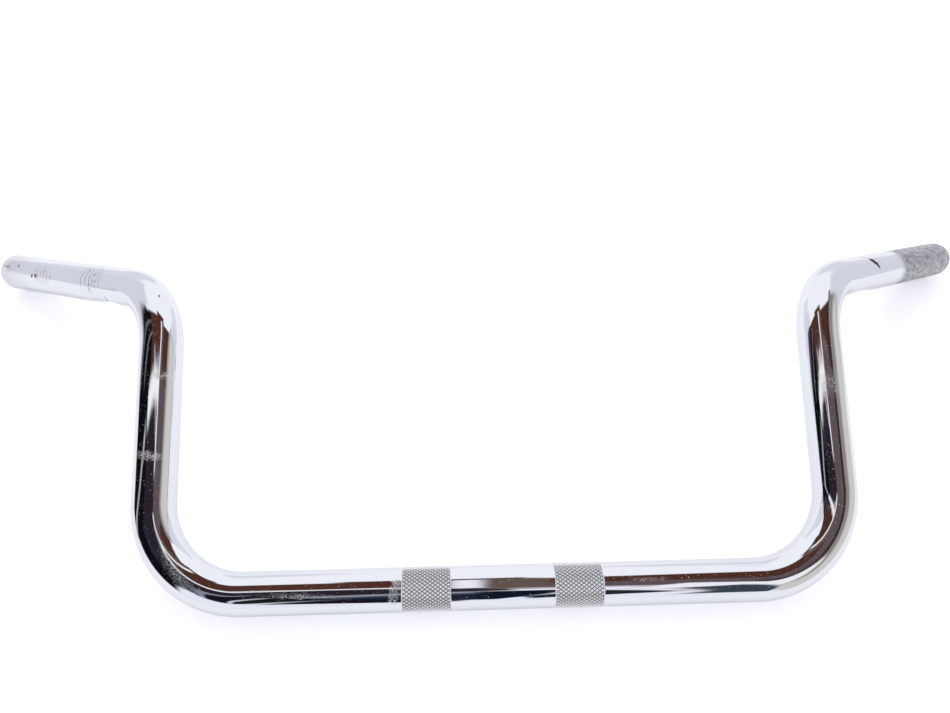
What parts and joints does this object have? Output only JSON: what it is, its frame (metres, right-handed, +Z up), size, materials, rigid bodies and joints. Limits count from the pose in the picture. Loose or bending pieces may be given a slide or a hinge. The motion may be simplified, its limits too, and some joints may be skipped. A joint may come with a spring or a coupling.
{
  "type": "motorcycle handlebar",
  "caption": "One bent chromed steel tube with a knurled clamp section, two risers and two swept-back grips with wiring dimples, lying at rest.",
  "frame": {"origin": "bottom centre of the bar's box as the bar lies on a flat surface", "axes": "+X along the clamp section, +Y from the clamp section to the grips, +Z up"},
  "size_m": [0.7336, 0.2736, 0.0911],
  "materials": {
    "chrome": "bright chrome plate, worn dull where grips and clamps sat"
  },
  "bodies": {
    "root": {"handlebar": "chrome"}
  },
  "joints": []
}
